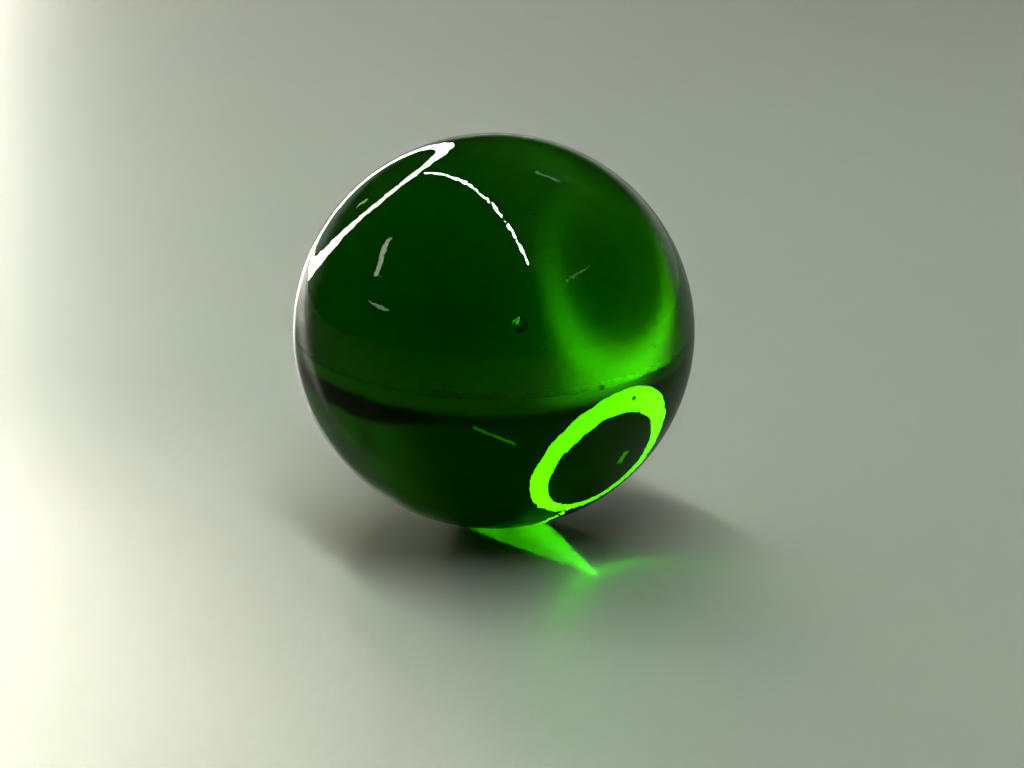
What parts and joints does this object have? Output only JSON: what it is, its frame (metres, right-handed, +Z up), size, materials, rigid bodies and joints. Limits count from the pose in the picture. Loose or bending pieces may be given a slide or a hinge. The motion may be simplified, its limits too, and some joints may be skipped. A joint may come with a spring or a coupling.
{
  "type": "glass ball",
  "caption": "Solid clear dark green glass ball, a marble, slightly out of round, with small air bubbles sealed inside.",
  "frame": {"origin": "centre of the ball", "axes": "+Z up along the ball's short axis, away from the surface it rests on; the front faces -Y"},
  "size_m": [0.025, 0.025, 0.0246],
  "materials": {
    "green_glass": "fire-polished clear glass, coloured through, with fine surface ripple"
  },
  "bodies": {
    "root": {"glass_ball": "green_glass"}
  },
  "joints": []
}
